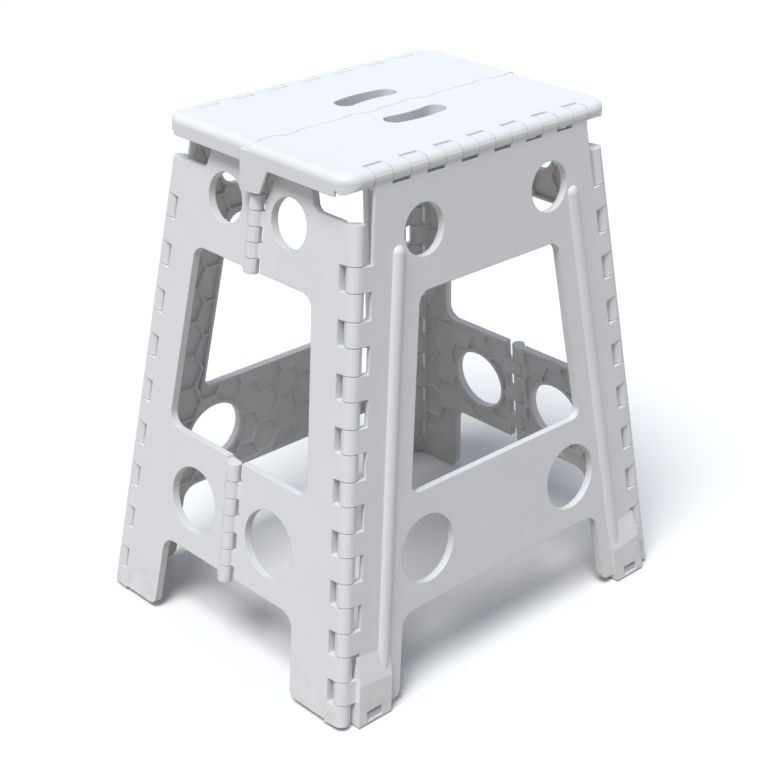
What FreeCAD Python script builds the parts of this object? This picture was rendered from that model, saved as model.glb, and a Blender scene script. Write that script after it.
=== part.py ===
import FreeCAD, Part
import math
import os

V = FreeCAD.Vector

# Tall folding step stool moulded in plastic, in millimetres.
# +Z is up, X runs along the seat and its centre split, Y across the seat.
# The origin is on the floor under the middle of the stool.
# "Front" is -Y, "left" is -X, as somebody standing in front of it sees them.

# Overall sizes. The slopes of all four panels meet at the apex height
STOOL_H = 450.0
SEAT_L = 303.4
APEX_H = 1410.0
FOOT_Y = 149.0
END_OVERHANG = 19.8

# Walls and fits
WALL = 7.0
SKIN = 3.0
FLANGE = 3.0
FOLD_GAP = 0.25
CLOSED_GAP = 0.35
AXIAL_GAP = 0.5
PIN_R = 2.0
PIN_CLEAR = 0.05
PIP_R = 3.0
PIP_H = 2.5
PIP_CLEAR = 0.2
OPEN_PIVOT_CLEAR = 0.5
ROOT_LAP = 1.5

# Corner hinges between leg panels and end halves. A drop is measured down from the seat's height
KNUCKLE_FIRST = 32.2
KNUCKLE_DROP = 75.9
KNUCKLE_LEN = 20.0
KNUCKLE_COUNT = 9
LEG_SETBACK = 11.5
END_SETBACK = 10.1
EDGE_BEVEL = 3.0
END_TAIL = 3.0
END_TOP_DROP = 36.0

# Leg panels
LEG_TOP_GAP = 1.2
LEG_BOTTOM = 5.0
LEG_CROTCH = 76.2
LEG_FOOT_W = 58.6
LEG_STILE = 62.6
LEG_OPEN_LOW = 178.5
LEG_OPEN_DROP = 105.0
LEG_HOLE_HIGH_INSET = 65.4
LEG_HOLE_HIGH_DROP = 56.1
LEG_HOLE_HIGH_R = 21.5
LEG_HOLE_LOW_INSET = 85.0
LEG_HOLE_LOW_UP = 125.4
LEG_HOLE_LOW_R = 30.0
LEG_CORNER_R = 12.0
ARCH_R = 14.0
FOOT_CORNER_R = 8.0

# Raised bead beside each corner hinge, and the thick foot it runs into
BEAD_OFF = 38.2
BEAD_W = 12.7
BEAD_H = 3.8
BEAD_DROP = 53.0
FOOT_OFF = 8.6
FOOT_W = 36.0
FOOT_PROUD = 5.0
FOOT_SLOPE_LOW = 38.0
FOOT_SLOPE_HIGH = 62.0
FOOT_BASE = 1.0
FOOT_SOLID = 68.0
PAD_W = 24.0
PAD_D = 7.0
PAD_H = 8.0
PAD_CLEAR = 0.1
WINDOW_W = 16.5
WINDOW_LOW = 3.0
WINDOW_HIGH = 11.5

# End panel halves
END_BOTTOM = 3.5
END_CROTCH = 75.4
END_FOOT_W = 55.5
END_STILE = 40.0
END_OPEN_LOW = 181.8
END_OPEN_DROP = 102.3
END_HOLE_HIGH_X = 38.9
END_HOLE_HIGH_DROP = 53.5
END_HOLE_HIGH_R = 21.0
END_HOLE_LOW_X = 49.2
END_HOLE_LOW_UP = 125.0
END_HOLE_LOW_R = 29.5
END_SPLIT = 10.0
END_RAISED_IN = 24.0
END_RAISED_OUT = 58.0
END_STEP = 66.0
END_RAISED_GAP = 3.5
END_RAISED_LEAN = 8.0
END_GORE_X = 12.5
END_GORE_DROP = 38.5

# Centre hinges of the end panels
MID_R = 6.2
MID_HIGH_DROP = 104.4
MID_HIGH_LEN = 65.4
MID_HIGH_COUNT = 5
MID_LOW_UP = 70.6
MID_LOW_LEN = 109.4
MID_LOW_COUNT = 7
ROD_FROM = 1
ROD_INSET = 1.0

# Seat
SEAT_T = 16.5
SEAT_AXIS_GAP = 0.3
SEAT_CORNER_R = 18.0
SEAT_EDGE_R = 6.5
SEAT_SKIN = 3.5
SEAT_WALL = 3.0
SEAT_RIB = 2.0
RIM_PROUD = 2.0
FINGER_END = 40.1
FINGER_W = 18.0
FINGER_COUNT = 7
FINGER_LIP = 1.5
SPLIT_GAP = 0.4
LUG_IN = 22.0
LUG_END = 41.7
LUG_STEP = 20.0
LUG_W = 10.0
LUG_R = 6.0
EYE_R = 6.8
EYE_CLEAR = 2.6
EYE_BACK = 1.5
EYE_UP = 1.9
SPLIT_TOOTH = 2.2
SPLIT_TOOTH_W = 16.0
RIB_SLOT_GAP = 17.5
RIB_END = 54.0
RIB_SPLIT = 16.0
RIB_RIM = 26.0
RIB_LOW = 1.0
SLOT_LEN = 65.0
SLOT_W = 18.0
SLOT_Y = 32.0
SLOT_BOW = 2.5
SLOT_WALL = 2.5
TAB_T = 2.1
TAB_CLEAR = 0.3
TAB_DROP = 24.0
TAB_HALF = 12.0
TAB_FLARE = 22.5
TAB_SIDE = 10.5
TAB_SLANT = 3.0

# Worked out from the sizes above
AXIS_DEPTH = WALL + FOLD_GAP
FOLD_HALF = AXIS_DEPTH + CLOSED_GAP
SEAT_AXIS_Z = STOOL_H - SEAT_T - SEAT_AXIS_GAP
FOOT_X = (SEAT_L / 2 - END_OVERHANG) / (1 - SEAT_AXIS_Z / APEX_H)
LEG_SLANT = math.hypot(APEX_H, FOOT_Y)
END_SLANT = math.hypot(APEX_H, FOOT_X)
AXIS_LEN = math.sqrt(APEX_H ** 2 + FOOT_X ** 2 + FOOT_Y ** 2)
RIM_Z = SEAT_AXIS_Z + FOLD_HALF + RIM_PROUD
RIM_R = STOOL_H - RIM_Z
RIM_V = (RIM_Z - RIM_PROUD * FOOT_Y / LEG_SLANT) * LEG_SLANT / APEX_H
RIM_Y = FOOT_Y - (RIM_V * FOOT_Y - RIM_PROUD * APEX_H) / LEG_SLANT
SEAT_HALF_W = RIM_Y + RIM_R
FAR_END = SEAT_L / 2
NEAR_END = SEAT_L / 2 - TAB_T - TAB_CLEAR
KNUCKLE_PITCH = (STOOL_H - KNUCKLE_DROP - KNUCKLE_FIRST) / (KNUCKLE_COUNT - 1)
FINGER_PITCH = (SEAT_L - 2 * FINGER_END) / (FINGER_COUNT - 1)
END_TOP = STOOL_H - END_TOP_DROP
MID_HIGH = (STOOL_H - MID_HIGH_DROP, MID_HIGH_LEN, MID_HIGH_COUNT)
MID_LOW = (MID_LOW_UP, MID_LOW_LEN, MID_LOW_COUNT)
END_HOLES = ((END_HOLE_HIGH_X, STOOL_H - END_HOLE_HIGH_DROP, END_HOLE_HIGH_R),
             (END_HOLE_LOW_X, END_HOLE_LOW_UP, END_HOLE_LOW_R))
LUG_OUT = FAR_END - LUG_END
LUG_XS = (-LUG_OUT - LUG_STEP, -LUG_IN - LUG_STEP, LUG_IN, LUG_OUT)


def rounded_wire(corners):
    """Closed wire through (x, y, radius) corners, in the plane z = 0."""
    count = len(corners)
    starts = []
    ends = []
    mids = []
    for i, (x, y, r) in enumerate(corners):
        here = V(x, y, 0)
        before = V(*corners[i - 1][:2], 0) - here
        after = V(*corners[(i + 1) % count][:2], 0) - here
        before.normalize()
        after.normalize()
        half = before.getAngle(after) / 2
        reach = r / math.tan(half)
        bisector = before + after
        if r > 0:
            bisector.normalize()
        starts.append(here + before * reach)
        ends.append(here + after * reach)
        mids.append(here + bisector * (r / math.sin(half) - r))
    edges = []
    for i, (x, y, r) in enumerate(corners):
        if r > 0:
            edges.append(Part.Arc(starts[i], mids[i], ends[i]).toShape())
        follow = starts[(i + 1) % count]
        if (follow - ends[i]).Length > 1e-6:
            edges.append(Part.LineSegment(ends[i], follow).toShape())
    return Part.Wire(edges)


def plate(corners, low, high):
    """Flat plate with rounded corners between two heights."""
    face = Part.Face(rounded_wire(corners))
    face.translate(V(0, 0, low))
    return face.extrude(V(0, 0, high - low))


def offset_plate(corners, grow, low, high):
    """Square-cornered plate, its outline moved outwards, or inwards if grow is negative."""
    sharp = [(x, y, 0) for x, y, r in corners]
    face = Part.Face(rounded_wire(sharp)).makeOffset2D(grow, join=2)
    face.translate(V(0, 0, low))
    return face.extrude(V(0, 0, high - low))


def loop(points):
    """Straight edges round a list of (x, y) points, closed."""
    corners = [V(x, y, 0) for x, y in points]
    return [Part.LineSegment(a, b).toShape() for a, b in zip(corners, corners[1:] + corners[:1])]


def profile_bar(points, length):
    """Bar with a profile drawn in the X-Y plane, pushed along Z."""
    return Part.Face(Part.Wire(loop(points))).extrude(V(0, 0, length))


def on_circle(centre, radius, start_deg, end_deg, flats):
    """Points along an arc, for a bend made of a few flats."""
    points = []
    for i in range(flats + 1):
        a = math.radians(start_deg + (end_deg - start_deg) * i / flats)
        points.append((centre[0] + radius * math.cos(a), centre[1] + radius * math.sin(a)))
    return points


def pip(radius, height):
    """Small eight-sided point along +Z, the moulded pivot of a hinge."""
    ring = [V(x, y, 0) for x, y in on_circle((0, 0), radius, 0, 315, 7)]
    tip = V(0, 0, height)
    faces = [Part.Face(Part.makePolygon(ring + ring[:1]))]
    for a, b in zip(ring, ring[1:] + ring[:1]):
        faces.append(Part.Face(Part.makePolygon([a, b, tip, a])))
    return Part.Solid(Part.Shell(faces))


def placed(shape, x_axis, y_axis, z_axis, origin):
    """Shape moved so that its own axes lie along three given directions."""
    m = FreeCAD.Matrix(x_axis.x, y_axis.x, z_axis.x, origin.x,
                       x_axis.y, y_axis.y, z_axis.y, origin.y,
                       x_axis.z, y_axis.z, z_axis.z, origin.z,
                       0, 0, 0, 1)
    out = shape.copy()
    out.Placement = FreeCAD.Placement(m).multiply(shape.Placement)
    return out


def mirrored(shape):
    """The same shape on the other side of a panel's centre line."""
    return shape.mirror(V(0, 0, 0), V(1, 0, 0))


def turned(shape):
    """The same shape at the diagonally opposite place of the stool."""
    out = shape.copy()
    out.rotate(V(0, 0, 0), V(0, 0, 1), 180)
    return out


# A panel is drawn flat: x across it, y up its slope from the floor,
# z outwards from the plane that holds its two corner hinge axes.

def axis_x(half_w, slant, y):
    """Half width of a panel at its hinge axis, at a height up its slope."""
    return half_w * (1 - y / slant)


def edge_x(half_w, slant, y, inset):
    """Place of a line parallel to the hinge axis, an inset inside it."""
    return axis_x(half_w, slant, y) - inset * math.hypot(half_w, slant) / slant


def along_axis(shape, half_w, slant):
    """Shape drawn as (outwards, outward face, along) set on the hinge axis."""
    tilt = math.atan2(half_w, slant)
    out = V(math.cos(tilt), math.sin(tilt), 0)
    up = V(-math.sin(tilt), math.cos(tilt), 0)
    return placed(shape, out, V(0, 0, 1), up * -1, V(half_w, 0, 0))


def corner_knuckle(start, end, setback):
    """One knuckle of a corner hinge, flush with the faces it turns between."""
    r = AXIS_DEPTH
    root = -setback - EDGE_BEVEL
    points = on_circle((0, 0), r, 90, 0, 4) + on_circle((0, 0), r, -45, -120, 2)
    points += [(-r, FOLD_GAP), (root, FOLD_GAP), (root, r)]
    bar = profile_bar(points, end - start)
    bar.translate(V(0, 0, -end))
    return bar


def edge_bevel():
    """Wedge off the inner side of a leg panel's edge, which lets its hinge gaps open wider inwards."""
    points = [(-LEG_SETBACK, AXIS_DEPTH - SKIN), (-LEG_SETBACK - EDGE_BEVEL, FOLD_GAP),
              (-LEG_SETBACK - EDGE_BEVEL, -WALL), (0, -WALL), (0, AXIS_DEPTH - SKIN)]
    bar = profile_bar(points, 2 * STOOL_H)
    bar.translate(V(0, 0, -STOOL_H * 1.5))
    return bar


def corner_pip(at, way, grow):
    """Pip, or with grow its socket, on a corner hinge axis."""
    z_axis = V(0, 0, -way)
    return placed(pip(PIP_R + grow, PIP_H + grow), V(1, 0, 0), z_axis.cross(V(1, 0, 0)), z_axis, V(0, 0, -at))


def leg_knuckle_spans():
    """Where the knuckles of a leg panel lie along the hinge axis."""
    half = KNUCKLE_LEN / 2
    centres = [KNUCKLE_FIRST + KNUCKLE_PITCH * i for i in range(KNUCKLE_COUNT)]
    return [(c - half, c + half) for c in centres]


def end_knuckle_spans():
    """Where the knuckles of an end half lie, between those of the leg."""
    legs = leg_knuckle_spans()
    top = END_TOP * AXIS_LEN / END_SLANT
    spans = [(END_TAIL, legs[0][0] - AXIAL_GAP)]
    for below, above in zip(legs, legs[1:]):
        spans.append((below[1] + AXIAL_GAP, above[0] - AXIAL_GAP))
    spans.append((legs[-1][1] + AXIAL_GAP, top))
    return spans


def corner_pip_places():
    """Where the outermost knuckles of a leg meet those of an end half, and which way."""
    legs = leg_knuckle_spans()
    return [(legs[0][0], -1), (legs[-1][1], 1)]


def corner_pips():
    """Pips at both ends of a leg's row of knuckles."""
    return [corner_pip(at, way, 0) for at, way in corner_pip_places()]


def corner_sockets():
    """Sockets for those pips in the tail and top knuckle of an end half."""
    return [corner_pip(at, way, PIP_CLEAR) for at, way in corner_pip_places()]


def hole(spec):
    """Round opening through a panel at (x, y, radius)."""
    x, y, r = spec
    return Part.makeCylinder(r, 3 * WALL, V(x, y, -WALL))


def boss(spec):
    """Twelve-sided wall left round an opening on a panel's inner side."""
    x, y, r = spec
    out = (r + FLANGE) / math.cos(math.pi / 12)
    ring = profile_bar(on_circle((x, y), out, 15, 345, 11), 3 * WALL)
    ring.translate(V(0, 0, -WALL))
    return ring


def tray(outline, above, walls):
    """Hollow in a panel's inner face, above a height and clear of its walls."""
    hollow = offset_plate(outline, -FLANGE, FOLD_GAP - 1, AXIS_DEPTH - SKIN)
    size = 3 * FOOT_X
    below = Part.makeBox(size, size, size, V(-size / 2, above - size, -size / 2))
    return hollow.cut(walls + [below])


def leg_outline():
    """Outline of a leg panel with its arch and two feet."""
    top = RIM_V - RIM_R - LEG_TOP_GAP
    right = [(edge_x(FOOT_X, LEG_SLANT, LEG_BOTTOM, LEG_SETBACK), LEG_BOTTOM, 0),
             (edge_x(FOOT_X, LEG_SLANT, top, LEG_SETBACK), top, 0)]
    arch = [(edge_x(FOOT_X, LEG_SLANT, LEG_CROTCH, LEG_FOOT_W), LEG_CROTCH, ARCH_R),
            (edge_x(FOOT_X, LEG_SLANT, LEG_BOTTOM, LEG_FOOT_W), LEG_BOTTOM, FOOT_CORNER_R)]
    left = [(-x, y, r) for x, y, r in reversed(right)]
    back = [(-x, y, r) for x, y, r in reversed(arch)]
    return right + left + back + arch


def leg_opening():
    """Outline of the large opening in the middle of a leg panel."""
    top = STOOL_H - LEG_OPEN_DROP
    low = edge_x(FOOT_X, LEG_SLANT, LEG_OPEN_LOW, LEG_STILE)
    high = edge_x(FOOT_X, LEG_SLANT, top, LEG_STILE)
    return [(low, LEG_OPEN_LOW, FOOT_CORNER_R), (high, top, LEG_CORNER_R),
            (-high, top, LEG_CORNER_R), (-low, LEG_OPEN_LOW, FOOT_CORNER_R)]


def leg_holes():
    """Four round holes of a leg panel as (x, y, radius)."""
    holes = []
    for up, inset, r in ((STOOL_H - LEG_HOLE_HIGH_DROP, LEG_HOLE_HIGH_INSET, LEG_HOLE_HIGH_R),
                         (LEG_HOLE_LOW_UP, LEG_HOLE_LOW_INSET, LEG_HOLE_LOW_R)):
        x = axis_x(FOOT_X, LEG_SLANT, up) - inset
        holes += [(x, up, r), (-x, up, r)]
    return holes


def leg_tray():
    """Hollow behind the skin of a leg panel, above its two solid feet."""
    walls = [offset_plate(leg_opening(), FLANGE, -WALL, 3 * WALL)]
    walls += [boss(spec) for spec in leg_holes()]
    return tray(leg_outline(), FOOT_SOLID, walls)


def bead():
    """Rounded bead up the outer face with a domed top, drawn for along_axis."""
    half = BEAD_W / 2
    top = STOOL_H - BEAD_DROP - half
    r = (half ** 2 + BEAD_H ** 2) / (2 * BEAD_H)
    centre = AXIS_DEPTH + BEAD_H - r
    body = Part.makeCylinder(r, top, V(-BEAD_OFF, centre, -top))
    dome = Part.makeSphere(r, V(-BEAD_OFF, centre, -top))
    low = AXIS_DEPTH - SKIN / 2
    high = AXIS_DEPTH + BEAD_H + 1
    side = [(FOOT_SLOPE_LOW, low), (top + r, low), (top + r, high), (FOOT_SLOPE_LOW, high)]
    return body.fuse(dome).common(along_side(side, -BEAD_OFF - r - 1, 2 * r + 2))


def along_side(side, start, width):
    """Bar with an (along, outward face) side view, drawn for along_axis."""
    bar = profile_bar(side, width)
    return placed(bar, V(0, 0, -1), V(0, 1, 0), V(1, 0, 0), V(start, 0, 0))


def foot_block():
    """Thick foot outside the panel, sloped at its top, drawn for along_axis."""
    proud = AXIS_DEPTH + FOOT_PROUD
    side = [(-2 * LEG_BOTTOM, FOLD_GAP), (-2 * LEG_BOTTOM, proud), (FOOT_SLOPE_LOW, proud),
            (FOOT_SLOPE_HIGH, AXIS_DEPTH), (FOOT_SLOPE_HIGH, AXIS_DEPTH - 1),
            (FOOT_SLOPE_LOW / 2, FOLD_GAP)]
    return along_side(side, -FOOT_OFF - FOOT_W, FOOT_W)


def finger(x):
    """Finger at the top of a leg panel that holds the rim of the seat."""
    centre = (RIM_V, RIM_PROUD)
    flat = AXIS_DEPTH - RIM_PROUD
    start = math.degrees(math.atan2(flat, -math.sqrt(RIM_R ** 2 - flat ** 2)))
    upright = math.degrees(math.atan2(FOOT_Y, APEX_H))
    lip = upright - math.degrees(math.acos(RIM_R / (RIM_R + FINGER_LIP)))
    root = RIM_V - RIM_R - LEG_TOP_GAP - ROOT_LAP
    points = on_circle(centre, RIM_R, start, upright, 5) + on_circle(centre, RIM_R + FINGER_LIP, lip, -60, 2)
    points += [(RIM_V - 0.9 * RIM_R, FOLD_GAP), (root, FOLD_GAP), (root, AXIS_DEPTH)]
    bar = profile_bar(points, FINGER_W)
    return placed(bar, V(0, 1, 0), V(0, 0, 1), V(1, 0, 0), V(x - FINGER_W / 2, 0, 0))


def finger_centres():
    """Places of the fingers along the seat's long edge."""
    middle = (FINGER_COUNT - 1) / 2
    return [FINGER_PITCH * (i - middle) for i in range(FINGER_COUNT)]


def rim_pip(centre, grow):
    """Pip, or with grow its socket, at the right end of the seat hinge."""
    x = finger_centres()[-1] + FINGER_W / 2
    return placed(pip(PIP_R + grow, PIP_H + grow), V(0, 1, 0), V(0, 0, 1), V(1, 0, 0), V(x, *centre))


def on_leg(shape):
    """Flat-drawn leg panel stood at the front of the stool."""
    up = V(0, FOOT_Y / LEG_SLANT, APEX_H / LEG_SLANT)
    out = V(0, -APEX_H / LEG_SLANT, FOOT_Y / LEG_SLANT)
    return placed(shape, V(1, 0, 0), up, out, V(0, -FOOT_Y, 0))


def on_end(shape):
    """Flat-drawn end panel stood at the left of the stool."""
    up = V(FOOT_X / END_SLANT, 0, APEX_H / END_SLANT)
    out = V(-APEX_H / END_SLANT, 0, FOOT_X / END_SLANT)
    return placed(shape, V(0, -1, 0), up, out, V(-FOOT_X, 0, 0))


def below_floor(height):
    """Block under a level, which cuts a foot off flat."""
    size = 3 * FOOT_X
    return Part.makeBox(size, size, size, V(-size / 2, -size / 2, height - size))


def foot_pocket(side, clear):
    """Pad's block in the foot on one side of the front leg, in the stool's frame."""
    centre_x = edge_x(FOOT_X, LEG_SLANT, 0, FOOT_OFF + FOOT_W / 2)
    proud = AXIS_DEPTH + FOOT_PROUD
    centre_y = -FOOT_Y - (proud - FOLD_GAP) / 2
    return Part.makeBox(PAD_W + 2 * clear, PAD_D + 2 * clear, PAD_H + 20,
                        V(side * centre_x - PAD_W / 2 - clear, centre_y - PAD_D / 2 - clear, -20))


def foot_pad(side):
    """Rubber pad pushed up into a foot, standing just proud of it."""
    block = foot_pocket(side, 0)
    return block.cut(below_floor(0))


def foot_window(side):
    """Window in the front of a foot, through which its pad shows."""
    centre_x = edge_x(FOOT_X, LEG_SLANT, 0, FOOT_OFF + FOOT_W / 2)
    back = -FOOT_Y - (AXIS_DEPTH + FOOT_PROUD) / 2
    return Part.makeBox(WINDOW_W, 3 * WALL, WINDOW_HIGH - WINDOW_LOW,
                        V(side * centre_x - WINDOW_W / 2, back - 3 * WALL, WINDOW_LOW))


def leg_panel():
    """Front leg panel in one piece, in the stool's frame."""
    flat = plate(leg_outline(), FOLD_GAP, AXIS_DEPTH)
    bevel = along_axis(edge_bevel(), FOOT_X, LEG_SLANT)
    flat = flat.cut([bevel, mirrored(bevel)])
    parts = []
    for start, end in leg_knuckle_spans():
        parts.append(along_axis(corner_knuckle(start, end, LEG_SETBACK), FOOT_X, LEG_SLANT))
    for piece in corner_pips() + [bead(), foot_block()]:
        parts.append(along_axis(piece, FOOT_X, LEG_SLANT))
    parts.append(rim_pip((RIM_V, RIM_PROUD), 0))
    parts += [mirrored(p) for p in parts]
    parts += [finger(x) for x in finger_centres()]
    flat = flat.fuse(parts)
    cuts = [plate(leg_opening(), -WALL, 3 * WALL), leg_tray()]
    cuts += [hole(spec) for spec in leg_holes()]
    flat = flat.cut(cuts)
    panel = on_leg(flat)
    floor_cuts = [below_floor(FOOT_BASE)]
    for side in (-1, 1):
        pocket = foot_pocket(side, PAD_CLEAR)
        floor_cuts += [pocket, foot_window(side)]
    return panel.cut(floor_cuts).removeSplitter()


def end_outline():
    """Outline of one half of an end panel, on the +x side of its centre."""
    top = (STOOL_H - SEAT_SKIN - END_RAISED_GAP) * END_SLANT / APEX_H - END_RAISED_LEAN
    gore = STOOL_H - END_GORE_DROP
    opening = STOOL_H - END_OPEN_DROP
    side_low = edge_x(FOOT_Y, END_SLANT, END_BOTTOM, END_SETBACK)
    side_high = edge_x(FOOT_Y, END_SLANT, END_TOP, END_SETBACK)
    open_low = edge_x(FOOT_Y, END_SLANT, END_OPEN_LOW, END_STILE)
    open_high = edge_x(FOOT_Y, END_SLANT, opening, END_STILE)
    foot_low = edge_x(FOOT_Y, END_SLANT, END_BOTTOM, END_FOOT_W)
    foot_high = edge_x(FOOT_Y, END_SLANT, END_CROTCH, END_FOOT_W)
    return [(side_low, END_BOTTOM, 0), (side_high, END_TOP, 0),
            (END_STEP, END_TOP, FOOT_CORNER_R), (END_RAISED_OUT, top, SKIN), (END_RAISED_IN, top, 0),
            (END_GORE_X, gore, 0), (END_SPLIT, gore - 4, 0),
            (END_SPLIT, opening, 0), (open_high, opening, LEG_CORNER_R),
            (open_low, END_OPEN_LOW, LEG_CORNER_R), (END_SPLIT, END_OPEN_LOW, 0),
            (END_SPLIT, END_CROTCH, 0), (foot_high, END_CROTCH, ARCH_R), (foot_low, END_BOTTOM, FOOT_CORNER_R)]


def end_tray():
    """Hollow behind the skin of an end half, above its solid foot."""
    walls = [boss(spec) for spec in END_HOLES]
    return tray(end_outline(), FOOT_SLOPE_LOW, walls)


def mid_knuckle(low, high):
    """Knuckle of the centre hinge on the half at +x, along the panel's y."""
    root = END_SPLIT + ROOT_LAP
    points = on_circle((0, FOLD_HALF), MID_R, -2, 255, 9)
    points += [(MID_R, FOLD_GAP), (root, FOLD_GAP), (root, AXIS_DEPTH)]
    bar = profile_bar(points, high - low)
    return placed(bar, V(1, 0, 0), V(0, 0, 1), V(0, -1, 0), V(0, high, 0))


def mid_spans(spec):
    """Spans of all the knuckles of one centre hinge, from the bottom up."""
    low, length, count = spec
    pitch = length / count
    return [(low + pitch * i + AXIAL_GAP / 2, low + pitch * (i + 1) - AXIAL_GAP / 2) for i in range(count)]


def mid_rod(spec, radius, extra):
    """Short rod on the centre hinge axis, through three knuckles of one hinge."""
    low = mid_spans(spec)[ROD_FROM][0] + ROD_INSET - extra
    high = mid_spans(spec)[ROD_FROM + 2][1] - ROD_INSET + extra
    return Part.makeCylinder(radius, high - low, V(0, low, FOLD_HALF), V(0, 1, 0))


def end_half(side, bore_r):
    """Half of the left end panel, front (+1) or rear (-1), in the stool's frame."""
    flat = plate(end_outline(), FOLD_GAP, AXIS_DEPTH)
    parts = []
    for start, end in end_knuckle_spans():
        parts.append(along_axis(corner_knuckle(start, end, END_SETBACK), FOOT_Y, END_SLANT))
    first = 1 if side > 0 else 0
    for spec in (MID_HIGH, MID_LOW):
        parts += [mid_knuckle(low, high) for low, high in mid_spans(spec)[first::2]]
    flat = flat.fuse(parts)
    cuts = [end_tray()] + [hole(spec) for spec in END_HOLES]
    cuts += [along_axis(b, FOOT_Y, END_SLANT) for b in corner_sockets()]
    cuts += [mid_rod(spec, bore_r, AXIAL_GAP) for spec in (MID_HIGH, MID_LOW)]
    flat = flat.cut(cuts).removeSplitter()
    if side < 0:
        flat = mirrored(flat)
    return on_end(flat)


def rim_negative():
    """Space outside and below the round rim of the seat's front edge."""
    low = STOOL_H - 2 * SEAT_T
    far = -SEAT_HALF_W - 10
    turn = on_circle((-RIM_Y, RIM_Z), RIM_R, 180, 330, 6)
    points = [(far, RIM_Z)] + turn + [(turn[-1][0], low), (far, low)]
    bar = profile_bar(points, 2 * SEAT_L)
    return placed(bar, V(0, 1, 0), V(0, 0, 1), V(1, 0, 0), V(-SEAT_L, 0, 0))


def seat_shell():
    """Front half of the seat as a solid slab with a rounded top edge."""
    corners = [(NEAR_END, -SPLIT_GAP / 2, 0), (-FAR_END, -SPLIT_GAP / 2, 0),
               (-FAR_END, -SEAT_HALF_W, SEAT_CORNER_R), (NEAR_END, -SEAT_HALF_W, SEAT_CORNER_R)]
    slab = plate(corners, STOOL_H - SEAT_T, STOOL_H)
    rim = []
    for edge in slab.Edges:
        box = edge.BoundBox
        if box.ZMin > STOOL_H - 0.01 and box.YMin < -1:
            rim.append(edge)
    return slab.makeFillet(SEAT_EDGE_R, rim)


def seat_hollow():
    """Space under the seat's skin, inside its end walls."""
    left = SEAT_WALL - FAR_END
    right = NEAR_END - SEAT_WALL
    inner = -RIM_Y + RIM_R * math.cos(math.radians(30))
    corners = [(right, 10, 0), (left, 10, 0), (left, inner, 0), (right, inner, 0)]
    return plate(corners, STOOL_H - 2 * SEAT_T, STOOL_H - SEAT_SKIN)


def slot_centre_line(offset):
    """Curved handle slot's outline at an offset from its middle line."""
    half = (SLOT_LEN - SLOT_W) / 2
    bow = SLOT_BOW
    r = (half ** 2 + bow ** 2) / (2 * bow)
    centre = V(0, -SLOT_Y + r, 0)
    sweep = math.asin(half / r)
    edges = []
    ends = []
    for radius in (r - offset, r + offset):
        left = centre + V(-radius * math.sin(sweep), -radius * math.cos(sweep), 0)
        right = centre + V(radius * math.sin(sweep), -radius * math.cos(sweep), 0)
        middle = centre + V(0, -radius, 0)
        edges.append(Part.Arc(left, middle, right).toShape())
        ends.append((left, right))
    for index, sign in ((0, -1), (1, 1)):
        near = ends[0][index]
        far = ends[1][index]
        tip = (near + far) * 0.5 + V(sign * math.cos(sweep), math.sin(sweep), 0) * offset
        edges.append(Part.Arc(near, tip, far).toShape())
    return Part.Wire(Part.__sortEdges__(edges))


def slot_prism(offset, low, high):
    """Upright prism on the handle slot's outline."""
    face = Part.Face(slot_centre_line(offset))
    face.translate(V(0, 0, low))
    return face.extrude(V(0, 0, high - low))


def lug(x, centre, radius):
    """Lug under the split edge that carries the centre hinge."""
    y, z = centre
    top = STOOL_H - SEAT_SKIN + ROOT_LAP / 3
    start = math.degrees(math.acos(min(1, (SPLIT_TOOTH - y) / radius)))
    turn = on_circle((y, z), radius, start, -135, 6)
    points = [(turn[0][0], top)] + turn + [(-radius * 2.6, top)]
    bar = profile_bar(points, LUG_W)
    return placed(bar, V(0, 1, 0), V(0, 0, 1), V(1, 0, 0), V(x - LUG_W / 2, 0, 0))


def seat_ribs():
    """Ribs under the skin, clear of the hinges and the end panels."""
    low = STOOL_H - SEAT_T + RIB_LOW
    height = SEAT_T - SEAT_SKIN - RIB_LOW / 2
    back = -RIM_Y + RIM_R
    outer = FAR_END - RIB_END
    inner = SLOT_LEN / 2 + RIB_SLOT_GAP
    ribs = []
    for x in (-outer, -inner, inner, outer):
        ribs.append(Part.makeBox(SEAT_RIB, -back - RIB_SPLIT, height, V(x - SEAT_RIB / 2, back - 1, low)))
    for y in (back + RIB_RIM, -RIB_SPLIT):
        ribs.append(Part.makeBox(2 * outer, SEAT_RIB, height, V(-outer, y - SEAT_RIB / 2, low)))
    return ribs


def end_tab():
    """Tab at the left end that hooks over the end panel's centre hinge."""
    top = STOOL_H - SEAT_EDGE_R + 1
    low = SEAT_AXIS_Z - TAB_DROP
    corners = [(TAB_SIDE, top, 1), (TAB_HALF - 0.6, low, 2),
               (-TAB_HALF, low + TAB_SLANT, 3), (-TAB_FLARE, SEAT_AXIS_Z + 1, 1), (-TAB_FLARE, top, 0)]
    bar = plate(corners, 0, TAB_T)
    return placed(bar, V(0, 1, 0), V(0, 0, 1), V(1, 0, 0), V(-FAR_END, 0, 0))


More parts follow.
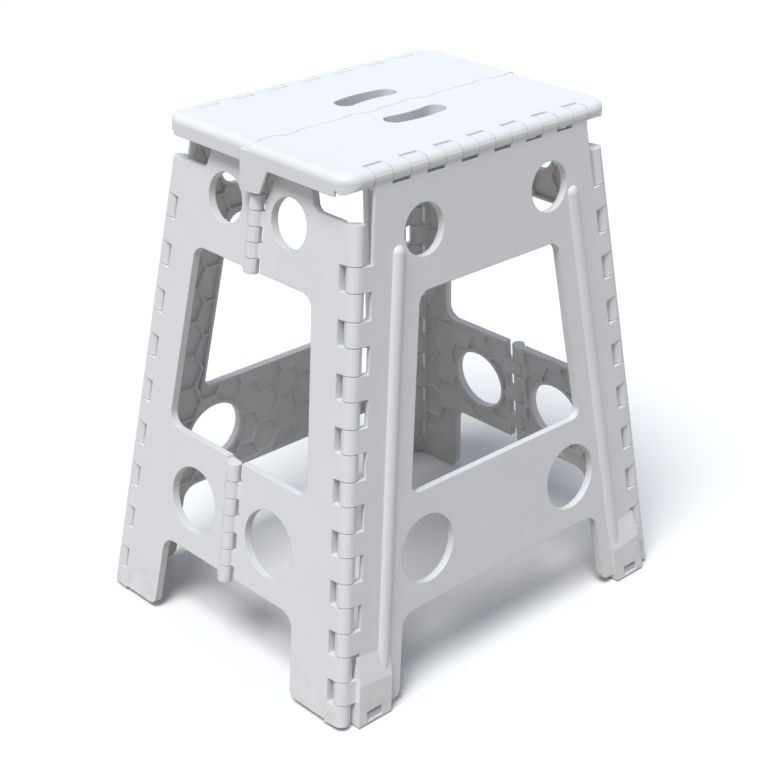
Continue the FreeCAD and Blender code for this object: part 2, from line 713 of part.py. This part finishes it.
def seat_half():
    """Front half of the seat, with its tab at the left end."""
    slab = seat_shell().cut([rim_negative(), seat_hollow()])
    low = STOOL_H - SEAT_T + RIB_LOW
    added = seat_ribs() + [slot_prism(SLOT_W / 2 + SLOT_WALL, low, STOOL_H - SEAT_SKIN + 0.5)]
    slab = slab.fuse(added)
    socket = rim_pip((-RIM_Y, RIM_Z), PIP_CLEAR)
    cuts = [socket, mirrored(socket), slot_prism(SLOT_W / 2, STOOL_H - 2 * SEAT_T, STOOL_H + 1)]
    notch_w = FINGER_W + 2 * AXIAL_GAP
    notch_y = -RIM_Y + RIM_R + LEG_TOP_GAP
    for x in finger_centres():
        cuts.append(Part.makeBox(notch_w, 60, 4 * SEAT_T, V(x - notch_w / 2, notch_y - 60, STOOL_H - 2 * SEAT_T)))
    cuts.append(Part.makeCylinder(LUG_R - 1, SEAT_L, V(-FAR_END, 0, SEAT_AXIS_Z), V(1, 0, 0)))
    for x in LUG_XS:
        cuts.append(Part.makeBox(SPLIT_TOOTH_W + SPLIT_GAP, SPLIT_TOOTH + SPLIT_GAP, SEAT_T,
                                 V(-x - (SPLIT_TOOTH_W + SPLIT_GAP) / 2, -SPLIT_TOOTH - SPLIT_GAP, STOOL_H - SEAT_T)))
    slab = slab.cut(cuts)
    teeth = [Part.makeBox(SPLIT_TOOTH_W, SPLIT_TOOTH + 2, SEAT_SKIN,
                          V(x - SPLIT_TOOTH_W / 2, -2, STOOL_H - SEAT_SKIN)) for x in LUG_XS]
    return slab.fuse(teeth + [end_tab()])


def seat_front():
    """Front half with close bores for the centre pins."""
    half = seat_half().fuse([lug(x, (0, SEAT_AXIS_Z), LUG_R) for x in LUG_XS])
    half = half.cut([seat_pin(x, PIN_CLEAR, AXIAL_GAP) for x in (LUG_XS[0], LUG_XS[-1])])
    return half.removeSplitter()


def seat_rear():
    """Rear half, whose eyes are wide because the linkage is opened there."""
    centre = (-EYE_BACK, SEAT_AXIS_Z + EYE_UP)
    half = seat_half().fuse([lug(x, centre, EYE_R) for x in LUG_XS])
    for x in (LUG_XS[0], LUG_XS[-1]):
        eye = turned(seat_pin(-x, EYE_CLEAR, LUG_W))
        eye.translate(V(0, -EYE_BACK, EYE_UP))
        half = half.cut(eye)
    return turned(half.removeSplitter())


def seat_pin(x, grow, extra):
    """Pin of the seat's centre hinge, from a front lug inwards or outwards to a rear one."""
    other = min([-u for u in LUG_XS], key=lambda u: abs(u - x))
    low = min(x, other) - LUG_W / 2 - extra
    high = max(x, other) + LUG_W / 2 + extra
    return Part.makeCylinder(PIN_R + grow, high - low, V(low, 0, SEAT_AXIS_Z), V(1, 0, 0))


def save(name, shape):
    """One file per piece."""
    shape.exportStep("parts/" + name + ".step")


def build():
    """Every piece of the stool, in its place."""
    os.makedirs("parts", exist_ok=True)
    leg = leg_panel()
    save("front_leg_panel", leg)
    save("rear_leg_panel", turned(leg))
    close = PIN_R + PIN_CLEAR
    front_half = end_half(1, close)
    rear_half = end_half(-1, close)
    wide_half = end_half(1, PIN_R + OPEN_PIVOT_CLEAR)
    save("left_end_front_half", front_half)
    save("left_end_rear_half", rear_half)
    save("right_end_rear_half", turned(wide_half))
    save("right_end_front_half", turned(rear_half))
    save("seat_front_half", seat_front())
    save("seat_rear_half", seat_rear())
    save("seat_left_pin", seat_pin(LUG_XS[0], 0, 0))
    save("seat_right_pin", seat_pin(LUG_XS[-1], 0, 0))
    for name, spec in (("upper", MID_HIGH), ("lower", MID_LOW)):
        rod = on_end(mid_rod(spec, PIN_R, 0))
        save("left_" + name + "_hinge_rod", rod)
        save("right_" + name + "_hinge_rod", turned(rod))
    for side, here, there in ((-1, "left", "right"), (1, "right", "left")):
        save("front_" + here + "_foot_pad", foot_pad(side))
        save("rear_" + there + "_foot_pad", turned(foot_pad(side)))


build()
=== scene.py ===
import math

import bmesh
import bpy
from mathutils import Matrix, Vector


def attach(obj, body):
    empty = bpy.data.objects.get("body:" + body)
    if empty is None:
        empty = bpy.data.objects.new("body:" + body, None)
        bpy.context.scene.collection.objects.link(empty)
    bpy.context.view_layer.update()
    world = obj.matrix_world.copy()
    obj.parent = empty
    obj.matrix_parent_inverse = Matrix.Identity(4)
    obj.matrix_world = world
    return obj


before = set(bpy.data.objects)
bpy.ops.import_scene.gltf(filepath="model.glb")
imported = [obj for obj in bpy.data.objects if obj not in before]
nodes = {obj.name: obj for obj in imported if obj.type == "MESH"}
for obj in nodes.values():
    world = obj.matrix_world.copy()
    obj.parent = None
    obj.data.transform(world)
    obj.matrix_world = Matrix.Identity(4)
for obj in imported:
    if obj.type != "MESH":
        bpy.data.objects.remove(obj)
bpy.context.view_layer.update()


# Panel plastic: every panel is injection moulded in satin white polypropylene.
# Up close it has a fine spark-eroded grain, a faint cloudiness from the melt's
# flow, and a little floor dust rubbed into the lowest few centimetres.

def new_group(name, inputs, outputs):
    """Empty shader node group with float or colour sockets."""
    group = bpy.data.node_groups.new(name, "ShaderNodeTree")
    for label, kind, value in inputs:
        socket = group.interface.new_socket(
            label, in_out="INPUT", socket_type="NodeSocket" + kind)
        socket.default_value = value
    for label, kind in outputs:
        group.interface.new_socket(label, in_out="OUTPUT", socket_type="NodeSocket" + kind)
    return group, group.nodes.new("NodeGroupInput"), group.nodes.new("NodeGroupOutput")


def noise_in(tree, scale, detail, roughness=0.5):
    """Noise node read in the stool's own coordinates."""
    place = tree.nodes.new("ShaderNodeTexCoord")
    noise = tree.nodes.new("ShaderNodeTexNoise")
    noise.inputs["Scale"].default_value = scale
    noise.inputs["Detail"].default_value = detail
    noise.inputs["Roughness"].default_value = roughness
    tree.links.new(place.outputs["Object"], noise.inputs["Vector"])
    return noise


def map_range(tree, source, low, high, to_low, to_high):
    """Map Range node fed by an output."""
    spread = tree.nodes.new("ShaderNodeMapRange")
    for label, value in (("From Min", low), ("From Max", high),
                         ("To Min", to_low), ("To Max", to_high)):
        spread.inputs[label].default_value = value
    tree.links.new(source, spread.inputs["Value"])
    return spread.outputs["Result"]


def combined(tree, operation, first, second):
    """Math node fed by two outputs."""
    node = tree.nodes.new("ShaderNodeMath")
    node.operation = operation
    tree.links.new(first, node.inputs[0])
    tree.links.new(second, node.inputs[1])
    return node.outputs["Value"]


def mixed(tree, mask, first, second):
    """Colour that goes from a first to a second, each a colour or an output."""
    mix = tree.nodes.new("ShaderNodeMix")
    mix.data_type = "RGBA"
    factor, first_colour, second_colour = mix.inputs[0], mix.inputs[6], mix.inputs[7]
    tree.links.new(mask, factor)
    for colour, socket in ((first, first_colour), (second, second_colour)):
        if isinstance(colour, tuple):
            socket.default_value = colour
        else:
            tree.links.new(colour, socket)
    return mix.outputs[2]


def bumped(tree, height, strength, distance):
    """Bump node fed by a height."""
    bump = tree.nodes.new("ShaderNodeBump")
    bump.inputs["Strength"].default_value = strength
    bump.inputs["Distance"].default_value = distance
    tree.links.new(height, bump.inputs["Height"])
    return bump


def new_material(name):
    """Material with its node tree and its Principled shader."""
    material = bpy.data.materials.new(name)
    material.use_nodes = True
    return material, material.node_tree, material.node_tree.nodes["Principled BSDF"]


def make_mould_grain():
    """Height of the fine grain that the mould leaves, with Grain setting its size."""
    usual_grain = 900.0
    group, start, end = new_group(
        "mould_grain", [("Grain", "Float", usual_grain)], [("Height", "Float")])
    fine = noise_in(group, usual_grain, 2.0)
    group.links.new(start.outputs["Grain"], fine.inputs["Scale"])
    broad = noise_in(group, 26.0, 2.0)
    broad_share = 3.0
    add = group.nodes.new("ShaderNodeMath")
    add.operation = "MULTIPLY_ADD"
    add.inputs[1].default_value = broad_share
    group.links.new(broad.outputs["Fac"], add.inputs[0])
    group.links.new(fine.outputs["Fac"], add.inputs[2])
    group.links.new(add.outputs["Value"], end.inputs["Height"])
    return group


def make_melt_flow():
    """Faint clouding of colour and gloss where the melt flowed and cooled."""
    inputs = [("Clear", "Color", (0.8, 0.8, 0.8, 1)), ("Cloudy", "Color", (0.7, 0.7, 0.7, 1)),
              ("Gloss Low", "Float", 0.36), ("Gloss High", "Float", 0.48)]
    outputs = [("Color", "Color"), ("Roughness", "Float")]
    group, start, end = new_group("melt_flow", inputs, outputs)
    cloud = noise_in(group, 9.0, 4.0, 0.6)
    mask = map_range(group, cloud.outputs["Fac"], 0.38, 0.66, 0.0, 1.0)
    colour = mixed(group, mask, start.outputs["Clear"], start.outputs["Cloudy"])
    group.links.new(colour, end.inputs["Color"])
    rub = noise_in(group, 34.0, 5.0, 0.65)
    gloss = group.nodes.new("ShaderNodeMapRange")
    gloss.inputs["From Min"].default_value = 0.3
    gloss.inputs["From Max"].default_value = 0.7
    group.links.new(rub.outputs["Fac"], gloss.inputs["Value"])
    group.links.new(start.outputs["Gloss Low"], gloss.inputs["To Min"])
    group.links.new(start.outputs["Gloss High"], gloss.inputs["To Max"])
    group.links.new(gloss.outputs["Result"], end.inputs["Roughness"])
    return group


def make_floor_dust():
    """Mask that is strongest on the feet and fades out a hand's width up."""
    group, start, end = new_group("floor_dust", [("Reach", "Float", 0.06)], [("Mask", "Float")])
    place = group.nodes.new("ShaderNodeTexCoord")
    split = group.nodes.new("ShaderNodeSeparateXYZ")
    group.links.new(place.outputs["Object"], split.inputs[0])
    height = combined(group, "DIVIDE", split.outputs["Z"], start.outputs["Reach"])
    low = map_range(group, height, 0.0, 1.0, 1.0, 0.0)
    speck = noise_in(group, 70.0, 6.0, 0.7)
    patchy = map_range(group, speck.outputs["Fac"], 0.45, 0.7, 0.0, 0.5)
    group.links.new(combined(group, "MULTIPLY", low, patchy), end.inputs["Mask"])
    return group


mould_grain = make_mould_grain()
melt_flow = make_melt_flow()
floor_dust = make_floor_dust()


def place_group(tree, group, **values):
    """Node that uses a group, with its own values."""
    node = tree.nodes.new("ShaderNodeGroup")
    node.node_tree = group
    for label, value in values.items():
        node.inputs[label.replace("_", " ")].default_value = value
    return node


def moulded_plastic(name, clear, cloudy, gloss, grain, grain_depth, corner, dusty=False):
    """Satin polypropylene as it leaves the mould, its corners rounded by a small radius."""
    material, tree, shader = new_material(name)
    shader.inputs["IOR"].default_value = 1.49
    flow = place_group(tree, melt_flow, Clear=clear, Cloudy=cloudy,
                       Gloss_Low=gloss[0], Gloss_High=gloss[1])
    colour = flow.outputs["Color"]
    if dusty:
        dust = place_group(tree, floor_dust, Reach=0.05)
        floor_dirt = (0.47, 0.45, 0.42, 1)
        colour = mixed(tree, dust.outputs["Mask"], colour, floor_dirt)
    tree.links.new(colour, shader.inputs["Base Color"])
    tree.links.new(flow.outputs["Roughness"], shader.inputs["Roughness"])
    surface = place_group(tree, mould_grain, Grain=grain)
    bump = bumped(tree, surface.outputs["Height"], 0.35, grain_depth)
    rounded = tree.nodes.new("ShaderNodeBevel")
    rounded.samples = 6
    rounded.inputs["Radius"].default_value = corner
    tree.links.new(rounded.outputs["Normal"], bump.inputs["Normal"])
    tree.links.new(bump.outputs["Normal"], shader.inputs["Normal"])
    return material


panel_plastic = moulded_plastic(
    "satin_white_panel", clear=(0.79, 0.8, 0.82, 1), cloudy=(0.765, 0.78, 0.805, 1),
    gloss=(0.36, 0.48), grain=1100.0, grain_depth=0.00006, corner=0.001, dusty=True)
# The ribs use the same plastic with a lighter, warmer colour. The lighter tone is a painted
# highlight for ridges lit through the openings, and the warm tint is painted warm bounce light
# inside the stool.
rib_plastic_painted_warm_lit = moulded_plastic(
    "satin_white_ribs_painted_warm_lit", clear=(0.81, 0.8, 0.8, 1), cloudy=(0.78, 0.775, 0.78, 1),
    gloss=(0.4, 0.52), grain=1100.0, grain_depth=0.00006, corner=0.0003)


def dress(names, material):
    """Give CAD nodes one material."""
    for name in names:
        mesh = nodes[name].data
        mesh.materials.clear()
        mesh.materials.append(material)


# Leg panels: the two wide trestle sides, each one moulding with a 3 mm skin,
# a 3 mm flange round every edge and hole, and a honeycomb of 2 mm ribs that
# fills the hollow behind the skin from just above the feet to the seat.

FOOT_X = 0.19037
FOOT_Y = 0.149
APEX_HEIGHT = 1.410
FLANGE_FACE = 0.0006
SKIN_BACK = 0.00445
CELL_TALL = 0.0335
CELL_COLUMN = 0.0242
RIB = 0.0019
FLANGE_LAP = 0.0026
HOLE_SIDES = 12
LEAST_PROBES = 5
CUT_FROM, CUT_TO = -0.01, 0.02
LEG_FIRST_RIDGE = 0.031
LEG_SLANT = math.hypot(APEX_HEIGHT, FOOT_Y)


def inside_edge(half_width, slant, y, inset):
    """Place of a line a fixed distance inside a panel's hinge axis."""
    return half_width * (1 - y / slant) - inset * math.hypot(half_width, slant) / slant


def prism(bm, outline, low, high):
    """Upright prism on an outline of (x, y) points."""
    below = [bm.verts.new((x, y, low)) for x, y in outline]
    above = [bm.verts.new((x, y, high)) for x, y in outline]
    bm.faces.new(list(reversed(below)))
    bm.faces.new(above)
    for i in range(len(outline)):
        j = (i + 1) % len(outline)
        bm.faces.new((below[i], below[j], above[j], above[i]))


def hole_ring(x, y, radius):
    """Polygon just clear of a round hole and its flange, one flat side up."""
    half_step = math.pi / HOLE_SIDES
    reach = (radius + FLANGE_LAP) / math.cos(half_step)
    turns = [half_step * (2 * i + 1) for i in range(HOLE_SIDES)]
    return [(x + reach * math.cos(turn), y + reach * math.sin(turn)) for turn in turns]


def temporary(name, outlines, low, high):
    """Object made of prisms, for cutting."""
    bm = bmesh.new()
    for outline in outlines:
        prism(bm, outline, low, high)
    bmesh.ops.recalc_face_normals(bm, faces=bm.faces)
    mesh = bpy.data.meshes.new(name)
    bm.to_mesh(mesh)
    bm.free()
    obj = bpy.data.objects.new(name, mesh)
    bpy.context.scene.collection.objects.link(obj)
    return obj


def inside(point, outline):
    """True for a point within an outline."""
    x, y = point
    crossings = 0
    for (ax, ay), (bx, by) in zip(outline, outline[1:] + outline[:1]):
        if (ay > y) != (by > y) and x < ax + (y - ay) * (bx - ax) / (by - ay):
            crossings += 1
    return crossings % 2 == 1


def cell_at(x, y):
    """Outline of one open cell, flat side up and a little narrower than it is tall."""
    corner_share = 0.55
    half = (CELL_TALL - RIB) / 2
    reach = CELL_COLUMN * 2 / 3 - RIB * corner_share
    return [(x + reach, y), (x + reach / 2, y + half), (x - reach / 2, y + half),
            (x - reach, y), (x - reach / 2, y - half), (x + reach / 2, y - half)]


def honeycomb_cells(outline, keep_clear, first_ridge):
    """Cells over an outline, less those of which only a sliver would be left."""
    xs = [x for x, y in outline]
    ys = [y for x, y in outline]
    first_column = math.floor(min(xs) / CELL_COLUMN) - 1
    last_column = math.ceil(max(xs) / CELL_COLUMN) + 1
    cells = []
    for column in range(first_column, last_column + 1):
        x = column * CELL_COLUMN
        y = first_ridge + (CELL_TALL if column % 2 else CELL_TALL / 2)
        while y < max(ys) + CELL_TALL:
            cell = cell_at(x, y)
            probes = cell + [((x + a) / 2, (y + b) / 2) for a, b in cell] + [(x, y)]
            within = [point for point in probes if inside(point, outline)]
            clear = [point for point in within
                     if not any(inside(point, ring) for ring in keep_clear)]
            if len(clear) >= LEAST_PROBES:
                cells.append(cell)
            y += CELL_TALL
    return cells


def honeycomb(name, outline, keep_clear, first_ridge, to_stool, body):
    """Ribs inside an outline, clear of holes, set in place on a body."""
    ribs = temporary(name, [outline], FLANGE_FACE, SKIN_BACK)
    cells = honeycomb_cells(outline, keep_clear, first_ridge)
    cutters = [temporary("clear_%d" % i, [ring], CUT_FROM, CUT_TO)
               for i, ring in enumerate(keep_clear)]
    cutters.append(temporary("cells", cells, CUT_FROM, CUT_TO))
    for cutter in cutters:
        modifier = ribs.modifiers.new("cut", "BOOLEAN")
        modifier.operation = "DIFFERENCE"
        modifier.solver = "EXACT"
        modifier.object = cutter
    bpy.context.view_layer.update()
    depsgraph = bpy.context.evaluated_depsgraph_get()
    mesh = bpy.data.meshes.new_from_object(ribs.evaluated_get(depsgraph))
    ribs.modifiers.clear()
    ribs.data = mesh
    for cutter in cutters:
        bpy.data.objects.remove(cutter)
    mesh.transform(to_stool)
    if to_stool.determinant() < 0:
        mesh.flip_normals()
    mesh.materials.clear()
    mesh.materials.append(rib_plastic_painted_warm_lit)
    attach(ribs, body)


def frame_of(x_axis, y_axis, z_axis, origin):
    """Matrix from a panel's own axes to the stool's."""
    columns = [Vector(v).to_4d() for v in (x_axis, y_axis, z_axis, origin)]
    matrix = Matrix(columns).transposed()
    matrix[3] = (0, 0, 0, 1)
    return matrix


half_turn = Matrix.Rotation(math.pi, 4, "Z")
front_leg_frame = frame_of((1, 0, 0), (0, FOOT_Y / LEG_SLANT, APEX_HEIGHT / LEG_SLANT),
                           (0, -APEX_HEIGHT / LEG_SLANT, FOOT_Y / LEG_SLANT), (0, -FOOT_Y, 0))


def leg_edge(y, inset):
    """Inside edge of a leg panel."""
    return inside_edge(FOOT_X, LEG_SLANT, y, inset)


def leg_tray_outline():
    """Outline of the hollow behind a leg panel's skin."""
    bottom, crotch, top = 0.0676, 0.0788, 0.4288
    side_inset, arch_inset = 0.0141, 0.056
    right = [(leg_edge(bottom, arch_inset), bottom), (leg_edge(bottom, side_inset), bottom),
             (leg_edge(top, side_inset), top)]
    left = [(-x, y) for x, y in reversed(right)]
    arch_side = leg_edge(crotch, arch_inset)
    return right + left + [(-arch_side, crotch), (arch_side, crotch)]


def leg_clear_rings():
    """Openings of a leg panel with their flanges."""
    low, high = 0.1785 - FLANGE_LAP, 0.345 + FLANGE_LAP
    opening_inset = 0.06
    low_side, high_side = leg_edge(low, opening_inset), leg_edge(high, opening_inset)
    rings = [[(-low_side, low), (low_side, low), (high_side, high), (-high_side, high)]]
    for x, y, radius in ((0.0721, 0.3939, 0.0215), (0.0886, 0.1254, 0.030)):
        rings += [hole_ring(-x, y, radius), hole_ring(x, y, radius)]
    return rings


dress(("front_leg_panel", "rear_leg_panel"), panel_plastic)
for name, body, matrix in (
        ("front_leg_honeycomb", "front_leg", front_leg_frame),
        ("rear_leg_honeycomb", "rear_leg", half_turn @ front_leg_frame)):
    honeycomb(name, leg_tray_outline(), leg_clear_rings(), LEG_FIRST_RIDGE, matrix, body)


# End panels: four halves in the same plastic, joined in pairs down the middle
# so that each end folds inwards. They are ribbed inside like the leg panels,
# and their raised tops reach up under the seat.

END_FIRST_RIDGE = 0.005
END_SLANT = math.hypot(APEX_HEIGHT, FOOT_X)
left_end_frame = frame_of((0, -1, 0), (FOOT_X / END_SLANT, 0, APEX_HEIGHT / END_SLANT),
                          (-APEX_HEIGHT / END_SLANT, 0, FOOT_X / END_SLANT), (-FOOT_X, 0, 0))
across = Matrix.Scale(-1, 4, (1, 0, 0))


def end_edge(y, inset):
    """Inside edge of an end panel."""
    return inside_edge(FOOT_Y, END_SLANT, y, inset)


def end_tray_outline():
    """Outline of the hollow behind the skin of one end half."""
    bottom, crotch, shoulder, top = 0.0356, 0.078, 0.4114, 0.4268
    open_low, open_high = 0.1792, 0.3503
    side_inset, open_inset, arch_inset = 0.0127, 0.0374, 0.0529
    middle = 0.0126
    side = [(end_edge(bottom, arch_inset), bottom), (end_edge(bottom, side_inset), bottom),
            (end_edge(shoulder, side_inset), shoulder)]
    raised_top = [(0.0634, shoulder), (0.0554, top), (0.0264, top),
                  (middle + FLANGE_LAP, 0.4089), (middle, 0.4066)]
    opening = [(middle, open_high), (end_edge(open_high, open_inset), open_high),
               (end_edge(open_low, open_inset), open_low), (middle, open_low)]
    arch = [(middle, crotch), (end_edge(crotch, arch_inset), crotch)]
    return side + raised_top + opening + arch


def end_clear_rings():
    """Round holes of an end half with their flanges."""
    return [hole_ring(0.0389, 0.3965, 0.021), hole_ring(0.0492, 0.125, 0.0295)]


dress(("left_end_front_half", "left_end_rear_half",
       "right_end_front_half", "right_end_rear_half"), panel_plastic)
for name, body, matrix in (
        ("left_front_honeycomb", "left_front_end", left_end_frame),
        ("left_rear_honeycomb", "left_rear_end", left_end_frame @ across),
        ("right_rear_honeycomb", "right_rear_end", half_turn @ left_end_frame),
        ("right_front_honeycomb", "right_front_end", half_turn @ left_end_frame @ across)):
    honeycomb(name, end_tray_outline(), end_clear_rings(), END_FIRST_RIDGE, matrix, body)


# Seat: two equal halves in the same white plastic, polished a little more by
# use than the panels. The top is plain and smooth; the ribs, lugs and slot
# collars underneath are part of the moulding.

seat_plastic = moulded_plastic(
    "satin_white_seat", clear=(0.8, 0.815, 0.835, 1), cloudy=(0.78, 0.8, 0.825, 1),
    gloss=(0.3, 0.42), grain=1400.0, grain_depth=0.00004, corner=0.001)
dress(("seat_front_half", "seat_rear_half"), seat_plastic)


# Hinge rods and seat pins: short lengths of drawn steel wire, cut off square,
# with fine marks on them from the die.

def make_drawn_steel():
    """Drawn wire with fine, uneven marks."""
    material, tree, shader = new_material("drawn_steel_wire")
    shader.inputs["Metallic"].default_value = 1.0
    shader.inputs["Base Color"].default_value = (0.56, 0.57, 0.59, 1)
    marks = noise_in(tree, 700.0, 3.0, 0.6).outputs["Fac"]
    tree.links.new(map_range(tree, marks, 0.3, 0.7, 0.24, 0.42), shader.inputs["Roughness"])
    bump = bumped(tree, marks, 0.2, 0.00003)
    tree.links.new(bump.outputs["Normal"], shader.inputs["Normal"])
    return material


dress([name for name in nodes if name.endswith(("_rod", "_pin"))], make_drawn_steel())


# Foot pads: soft pale rubber blocks pressed up into the feet. The floor wears
# and dirties their lower faces.

def make_pad_rubber():
    """Pale soft rubber, dull and a little dirty."""
    material, tree, shader = new_material("pale_pad_rubber")
    dust = place_group(tree, floor_dust, Reach=0.006)
    pale_rubber, worn_rubber = (0.66, 0.67, 0.68, 1), (0.3, 0.29, 0.27, 1)
    colour = mixed(tree, dust.outputs["Mask"], pale_rubber, worn_rubber)
    tree.links.new(colour, shader.inputs["Base Color"])
    grain = noise_in(tree, 1600.0, 2.0).outputs["Fac"]
    tree.links.new(map_range(tree, grain, 0.3, 0.7, 0.7, 0.9), shader.inputs["Roughness"])
    bump = bumped(tree, grain, 0.4, 0.00008)
    tree.links.new(bump.outputs["Normal"], shader.inputs["Normal"])
    return material


dress([name for name in nodes if name.endswith("_pad")], make_pad_rubber())


# Studio: a wide pale floor that runs out to white, one broad soft lamp high on
# the left, and an even sky, so that the top is brightest and the front dimmest.

FLOOR_RADIUS = 4.0
FLOOR_DROP = 0.0003
FLOOR_AS_SEEN = (0.93, 0.93, 0.93, 1)
FLOOR_AS_BOUNCE = (0.45, 0.375, 0.32, 1)
SKY_COLOUR = (0.77, 0.87, 1.0, 1)
SKY_STRENGTH = 0.39


def seen_directly(tree):
    """1 for what the camera sees straight on, in a reflection or through glass, else 0."""
    path = tree.nodes.new("ShaderNodeLightPath")
    either = combined(tree, "MAXIMUM",
                      path.outputs["Is Camera Ray"], path.outputs["Is Glossy Ray"])
    return combined(tree, "MAXIMUM", either, path.outputs["Is Transmission Ray"])


def make_floor():
    """Pale floor that keeps the stool's shadow."""
    bm = bmesh.new()
    bmesh.ops.create_circle(bm, cap_ends=True, segments=64, radius=FLOOR_RADIUS)
    mesh = bpy.data.meshes.new("studio_floor")
    bm.to_mesh(mesh)
    bm.free()
    floor = bpy.data.objects.new("studio_floor", mesh)
    floor.location.z = -FLOOR_DROP
    bpy.context.scene.collection.objects.link(floor)
    material, tree, shader = new_material("pale_floor")
    shader.inputs["Roughness"].default_value = 0.9
    shader.inputs["Specular IOR Level"].default_value = 0.0
    colour = mixed(tree, seen_directly(tree), FLOOR_AS_BOUNCE, FLOOR_AS_SEEN)
    tree.links.new(colour, shader.inputs["Base Color"])
    mesh.materials.append(material)


def make_sky():
    """Even sky, shown as plain white behind the stool."""
    world = bpy.data.worlds.new("studio_sky")
    bpy.context.scene.world = world
    world.use_nodes = True
    tree = world.node_tree
    light = tree.nodes["Background"]
    light.inputs["Color"].default_value = SKY_COLOUR
    light.inputs["Strength"].default_value = SKY_STRENGTH
    white = tree.nodes.new("ShaderNodeBackground")
    white.inputs["Color"].default_value = (1, 1, 1, 1)
    white.inputs["Strength"].default_value = 1.0
    mix = tree.nodes.new("ShaderNodeMixShader")
    tree.links.new(seen_directly(tree), mix.inputs[0])
    tree.links.new(light.outputs[0], mix.inputs[1])
    tree.links.new(white.outputs[0], mix.inputs[2])
    tree.links.new(mix.outputs[0], tree.nodes["World Output"].inputs["Surface"])


def add_lamp(name, towards, strength, angle_deg):
    """Broad distant lamp that shines from a direction."""
    lamp = bpy.data.lights.new(name, "SUN")
    lamp.energy = strength
    lamp.angle = math.radians(angle_deg)
    obj = bpy.data.objects.new(name, lamp)
    obj.rotation_euler = Vector(towards).to_track_quat("Z", "Y").to_euler()
    bpy.context.scene.collection.objects.link(obj)


make_floor()
make_sky()
add_lamp("broad_left_lamp", (-0.42, -0.16, 0.89), 2.75, 28)


# Camera: where the photograph was taken from, with its lens and slight roll.

CAMERA_PLACE = Vector((-0.9663, -1.0025, 0.8779))
CAMERA_AIM = Vector((-0.0214, -0.0188, 0.2082))
CAMERA_ROLL = math.radians(0.67)
SENSOR_MM = 36.0
LENS_MM = 81.9


def add_camera():
    """The photograph's camera."""
    back = (CAMERA_PLACE - CAMERA_AIM).normalized()
    right = Vector((0, 0, 1)).cross(back).normalized()
    up = back.cross(right)
    rolled_right = right * math.cos(CAMERA_ROLL) + up * math.sin(CAMERA_ROLL)
    rolled_up = up * math.cos(CAMERA_ROLL) - right * math.sin(CAMERA_ROLL)
    data = bpy.data.cameras.new("photo_camera")
    data.sensor_width = SENSOR_MM
    data.lens = LENS_MM
    camera = bpy.data.objects.new("photo_camera", data)
    camera.matrix_world = frame_of(rolled_right, rolled_up, back, CAMERA_PLACE)
    bpy.context.scene.collection.objects.link(camera)
    bpy.context.scene.camera = camera


add_camera()
bpy.context.scene.view_settings.view_transform = "Standard"
